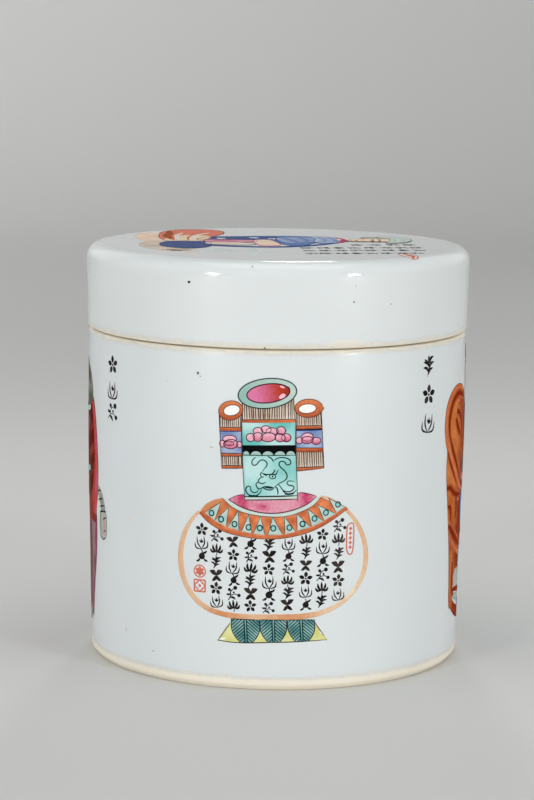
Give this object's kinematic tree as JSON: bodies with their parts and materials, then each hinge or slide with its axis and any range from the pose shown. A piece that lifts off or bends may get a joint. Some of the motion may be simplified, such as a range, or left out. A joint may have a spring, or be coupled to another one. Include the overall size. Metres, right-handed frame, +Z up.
{
  "type": "lidded jar",
  "caption": "Cylindrical porcelain jar for tea or small stores, with a flat overlapping lid that lifts off an inner collar, painted with enamel motifs.",
  "frame": {"origin": "centre of the foot ring, on the surface that the jar stands on", "axes": "+Z up along the jar's axis, -Y towards the painted vase that faces the viewer, +X to the viewer's right"},
  "size_m": [0.1078, 0.1078, 0.116],
  "materials": {
    "porcelain_glaze": "clear blue-tinged porcelain glaze, glossy, with buff unglazed foot and shoulder edge",
    "lid_glaze": "clear blue-tinged porcelain glaze, glossy, with pinholes and a buff unglazed rim",
    "overglaze_enamel": "translucent overglaze enamels, slightly raised: iron red, rose, turquoise, blue, green and yellow with black outlines"
  },
  "bodies": {
    "jar": {"jar_body": "porcelain_glaze"},
    "lid": {"lid": "lid_glaze"}
  },
  "joints": [
    {"name": "lid_lift", "type": "slide", "parent": "jar", "child": "lid", "axis": [0, 0, 1], "range_m": [0, 0.1]}
  ]
}
